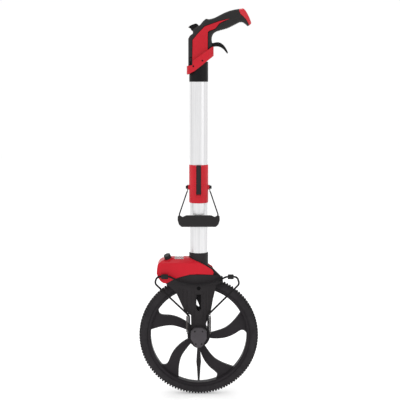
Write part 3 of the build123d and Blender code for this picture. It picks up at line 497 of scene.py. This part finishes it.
# a hook from the last turn: across to the axis, up, and round the anchor, for its upper end
hook_shape = (
    (coil_r, 0, 0), (0.0014, 0, 0.0012), (0, 0, 0.0018), (0, 0, 0.003), (0.0016, 0, 0.0042),
    (0.0006, 0, 0.0058), (-0.0014, 0, 0.0046), (-0.0010, 0, 0.0030),
)
for label, node in (("spring_coil_left", "stand_spring_left"), ("spring_coil_right", "stand_spring_right")):
    low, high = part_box(node)
    middle = ((low[0] + high[0]) / 2, (low[1] + high[1]) / 2)
    spring = grow(label, coil, bpy.data.meshes.new("empty"), Turns=coil_turns, Radius=coil_r,
                  Wire=coil_wire_r, Length=coil_length, Steel=spring_steel.material)
    spring.data.transform(Matrix.Translation((middle[0], middle[1], low[2] + hook_room)))
    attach(spring, "frame")
    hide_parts(node)
    hooks = bpy.data.curves.new(label + "_hooks", "CURVE")
    hooks.dimensions = "3D"
    hooks.bevel_depth = coil_wire_r
    hooks.bevel_resolution = 2
    for z, way in ((low[2] + hook_room + coil_length, 1), (low[2] + hook_room, -1)):
        line = hooks.splines.new("NURBS")
        line.points.add(len(hook_shape) - 1)
        for point, (x, y, dz) in zip(line.points, hook_shape):
            point.co = (middle[0] + x, middle[1] + y, z + way * dz, 1)
        line.order_u = 3
        line.use_endpoint_u = True
    loop = bpy.data.objects.new(label + "_hooks", hooks)
    scene.collection.objects.link(loop)
    hooks.materials.append(spring_steel.material)
    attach(loop, "frame")

# Counter housing: two red ABS shells with a satin polish that meet on the wheel's mid-plane,
# with a clear lens over five white digit drums.
red_shell = moulded("red_shell", (0.56, 0.008, 0.021), (0.50, 0.007, 0.018), 0.33, 1500, 0.00005, 0.05,
                    0.0018, specular=0.15)
red_shell.wear("counter_housing_near", "counter_housing_far", "knob_collar")
lens = Finish("clear_lens", Transmission_Weight=0.9, IOR=1.49, Alpha=0.4)
lens.colour(lens.blend(lens.noise(30), (0.80, 0.84, 0.86), (0.86, 0.88, 0.90)))
lens.gloss(lens.span(lens.noise(60, 3), 0.3, 0.7, 0.05, 0.12))
lens.wear("counter_window")
drum_white = moulded("drum_white", (0.78, 0.78, 0.75), (0.72, 0.72, 0.70), 0.45, 2600, 0.00003)
drum_white.wear("drum_1", "drum_2", "drum_3", "drum_4", "drum_5")

# ten raised digits stand round each drum, read from in front of the counter
ink = moulded("digit_ink", (0.008, 0.008, 0.008), (0.005, 0.005, 0.005), 0.5, 2600, 0.00001)
digit_height = 0.0062
digit_raise = 0.00012
for drum in range(1, 6):
    drum_low, drum_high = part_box(f"drum_{drum}")
    hub = Vector(drum_low).lerp(Vector(drum_high), 0.5)
    digits = bmesh.new()
    for digit in range(10):
        text = bpy.data.curves.new("digit", "FONT")
        text.body = str(digit)
        text.size = digit_height
        text.extrude = digit_raise
        text.align_x = "CENTER"
        text.align_y = "CENTER"
        plate = bpy.data.objects.new("digit", text)
        scene.collection.objects.link(plate)
        bpy.context.view_layer.update()
        flat = bpy.data.meshes.new_from_object(plate.evaluated_get(bpy.context.evaluated_depsgraph_get()))
        bpy.data.objects.remove(plate)
        upright = Matrix.Translation((0, 0, drum_high[2] - hub.z)) @ Matrix.Rotation(-math.pi / 2, 4, "Z")
        flat.transform(Matrix.Translation(hub) @ Matrix.Rotation(digit * math.pi / 5, 4, "Y") @ upright)
        digits.from_mesh(flat)
    digit_mesh = bpy.data.meshes.new(f"digits_{drum}")
    digits.to_mesh(digit_mesh)
    digits.free()
    digit_mesh.materials.append(ink.material)
    ring = bpy.data.objects.new(f"digits_{drum}", digit_mesh)
    scene.collection.objects.link(ring)
    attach(ring, f"digit_drum_{drum}")
black_knob = moulded("knob_black", (0.012, 0.011, 0.012), (0.008, 0.008, 0.008), 0.45, 1800, 0.0001)
black_knob.wear("reset_knob")

# Mast. Two drawn aluminium tubes, one below the fold joint and one above it, with a satin
# anodised skin that is brushed along their length.
tube_skin = Finish("anodised_tube", Metallic=1.0)
fine_lines = tube_skin.add("ShaderNodeMapping", {}, tube_skin.place, Scale=(900, 900, 6))
broad_bands = tube_skin.add("ShaderNodeMapping", {}, tube_skin.place, Scale=(210, 210, 0.8))
drawn = tube_skin.noise(1.0, 4, 0.6, at=fine_lines)
broad = tube_skin.noise(1.0, 2, 0.5, at=broad_bands)
streaks = tube_skin.span(drawn * 0.4 + broad * 0.6, 0.35, 0.65, 0, 1)
tube_skin.colour(tube_skin.blend(streaks, (0.64, 0.64, 0.65), (0.83, 0.825, 0.83)))
tube_skin.gloss(tube_skin.span(drawn, 0.3, 0.7, 0.30, 0.44))
tube_skin.relief(drawn, 0.00002, 0.4)
tube_skin.wear("lower_tube", "upper_tube")

# Fold joint. Two red glass-filled castings turn on a steel hinge pin, and a lever in the fork's
# black plastic latches them. The brake lever, the thumb lever and the ferrule have a smoother
# black finish.
red_cast = moulded("red_cast", (0.55, 0.012, 0.024), (0.48, 0.009, 0.019), 0.4, 1300, 0.0001, 0.05,
                   specular=0.2)
red_cast.wear("lower_joint", "upper_joint")
black_lever = moulded("lever_black", (0.006, 0.005, 0.006), (0.004, 0.004, 0.004), 0.42, 2000, 0.00008,
                      specular=0.14)
black_lever.wear("brake_lever", "thumb_lever", "ferrule")
fork_plastic.wear("latch_lever")

# Carry bail. Wire side arms turn on two shouldered screws, and a soft moulded grip joins them.
# The soft pieces here and on the handle keep their CAD shape, with its edges rounded off.
grip_rubber = Finish("grip_rubber", IOR=1.5, Specular_IOR_Level=0.3)
grip_rubber.colour(grip_rubber.blend(grip_rubber.noise(30, 4), (0.008, 0.007, 0.007), (0.013, 0.011, 0.012)))
grip_rubber.gloss(grip_rubber.span(grip_rubber.noise(70, 4), 0.3, 0.7, 0.38, 0.5))
grip_rubber.relief(grip_rubber.noise(1500, 2, 0.6), 0.00016, 0.7)

soft_voxel = 0.0009


def soften(node, rounds, keep):
    """The CAD piece's own shape with its edges rounded off, except where keep(point) is true."""
    bm = bmesh.new()
    bm.from_mesh(parts[node].data)
    bmesh.ops.remove_doubles(bm, verts=bm.verts, dist=0.00001)
    shape = bpy.data.meshes.new(node + "_soft")
    bm.to_mesh(shape)
    bm.free()
    source = bpy.data.objects.new("source", shape)
    scene.collection.objects.link(source)
    skin = source.modifiers.new("skin", "REMESH")
    skin.mode = "VOXEL"
    skin.voxel_size = soft_voxel
    bpy.context.view_layer.update()
    fine = bpy.data.meshes.new_from_object(source.evaluated_get(bpy.context.evaluated_depsgraph_get()))
    bpy.data.objects.remove(source)
    bm = bmesh.new()
    bm.from_mesh(fine)
    free = [vertex for vertex in bm.verts if not keep(vertex.co)]
    for _ in range(rounds):
        bmesh.ops.smooth_vert(bm, verts=free, factor=0.5, use_axis_x=True, use_axis_y=True, use_axis_z=True)
    return bm


def settle(bm, name, finish, body, node):
    """Keeps a softened shape as the piece that is seen in place of its CAD node."""
    mesh = bpy.data.meshes.new(name)
    bm.to_mesh(mesh)
    bm.free()
    mesh.shade_smooth()
    mesh.materials.clear()
    mesh.materials.append(finish.material)
    piece = bpy.data.objects.new(name, mesh)
    scene.collection.objects.link(piece)
    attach(piece, body)
    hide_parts(node)


# the carry grip is arched along its top, towards the wires that it hangs from
bail_tilt = math.radians(22.5)
bail_up = Vector((0, math.sin(bail_tilt), math.cos(bail_tilt)))
bail_low, bail_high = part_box("bail_grip")
bail_middle = Vector(bail_low).lerp(Vector(bail_high), 0.5)
arch_rise = 0.0060
arch_reach = 0.042
notch_depth = 0.0035
notch_width = 0.006
arch_foot = 0.006
arch_blend = 0.008
carry_bm = soften("bail_grip", 8, lambda point: False)
for vertex in carry_bm.verts:
    height = (vertex.co - bail_middle).dot(bail_up)
    share = max(0, min(1, (height + arch_foot) / arch_blend))
    span = max(0, 1 - (vertex.co.x / arch_reach) ** 2)
    notch = math.exp(-(((abs(vertex.co.x) - arch_reach) / notch_width) ** 2))
    vertex.co += bail_up * share * (arch_rise * span - notch_depth * notch)
settle(carry_bm, "bail_grip_soft", grip_rubber, "bail", "bail_grip")
screw_black.wear("bail_screws")

# Pistol grip: red shells either side of a black core that is overmoulded with soft rubber, a
# red nose cap, a trigger for the brake and a thumb lever for the counter.
red_handle = moulded("red_handle", (0.53, 0.009, 0.021), (0.46, 0.007, 0.017), 0.36, 1500, 0.00006, 0.05,
                     0.0012, 0.2)
red_handle.wear("handle_shell_near", "handle_shell_far")

# the seam between the rubber and the nose cap, in the side view, stays crisp
seam = [Vector(p) for p in ((0.1030, 1.030), (0.1047, 1.0147), (0.1086, 1.007), (0.1164, 1.0006),
                            (0.1242, 0.9917), (0.1296, 0.981), (0.1310, 0.970))]
seam_reach = 0.0022
spine_x = 0.004


def near_seam(point):
    here = Vector((point.x, point.z))
    for first, second in zip(seam, seam[1:]):
        along = max(0, min(1, (here - first).dot(second - first) / (second - first).length_squared))
        if (first.lerp(second, along) - here).length < seam_reach:
            return True
    return False


# ribs across the lower side of the grip: measured along its slope, and square to it
rib_pitch = 0.0044
rib_depth = 0.0009
grip_slope = math.radians(20.6)
ribs_top = 0.8995
ribs_run = (0.3905, 0.4490)
grip_bm = soften("grip", 14, lambda point: point.x < spine_x or near_seam(point))
grip_bm.normal_update()
for vertex in grip_bm.verts:
    run = vertex.co.x * math.cos(grip_slope) + vertex.co.z * math.sin(grip_slope)
    rise = vertex.co.z * math.cos(grip_slope) - vertex.co.x * math.sin(grip_slope)
    low = max(0, min(1, (ribs_top - rise) / 0.0015))
    ends = max(0, min(1, (run - ribs_run[0]) / 0.003, (ribs_run[1] - run) / 0.003))
    wave = 0.5 - 0.5 * math.cos(2 * math.pi * run / rib_pitch)
    vertex.co -= vertex.normal * (rib_depth * low * ends * wave)
settle(grip_bm, "grip_soft", grip_rubber, "mast", "grip")

cap_red = moulded("cap_red", (0.54, 0.006, 0.018), (0.50, 0.005, 0.015), 0.12, 1500, 0.00001, 0.25,
                  specular=0.4)
settle(soften("grip_end_cap", 14, near_seam), "grip_nose", cap_red, "mast", "grip_end_cap")
screws("handle_screw_heads", screw_head(0.0023, 0.0014),
       [((x, s * 0.0250, z), (0, s, 0)) for s in (-1, 1) for x, z in ((0.0097, 0.8873), (-0.0137, 0.8729))],
       "mast", screw_black.material, ["handle_screws"])
